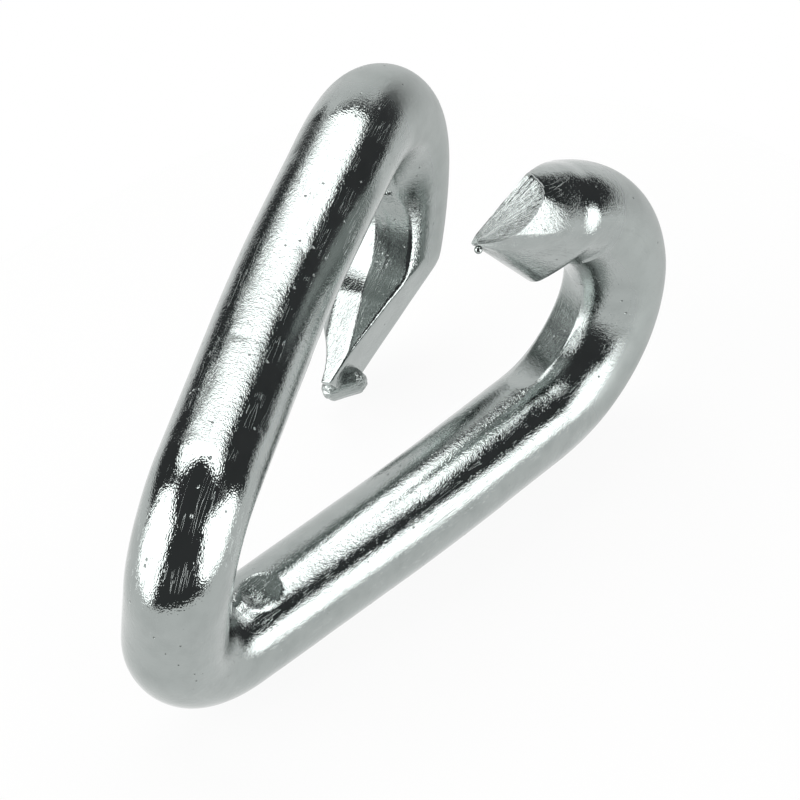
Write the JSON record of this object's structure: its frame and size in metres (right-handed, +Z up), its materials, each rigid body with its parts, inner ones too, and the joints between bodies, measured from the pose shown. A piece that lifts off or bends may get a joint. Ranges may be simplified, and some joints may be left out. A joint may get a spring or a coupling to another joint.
{
  "type": "chain connecting link",
  "caption": "Open connecting link bent from round steel bar, with a pinched hook on each leg, sprung apart in a V to be threaded between two chain ends and closed.",
  "frame": {"origin": "on the ground, under the middle of the link's box", "axes": "+Y from the bottom bend to the hooks along the link, X across the open V, +Z up as it comes to rest on its side, from the lower leg to the upper leg"},
  "size_m": [0.0206, 0.0414, 0.0229],
  "materials": {
    "zinc_plated_steel": "bright zinc plate over bent and pinched steel bar, with small pits and tool marks"
  },
  "bodies": {
    "root": {"open_link": "zinc_plated_steel"}
  },
  "joints": []
}
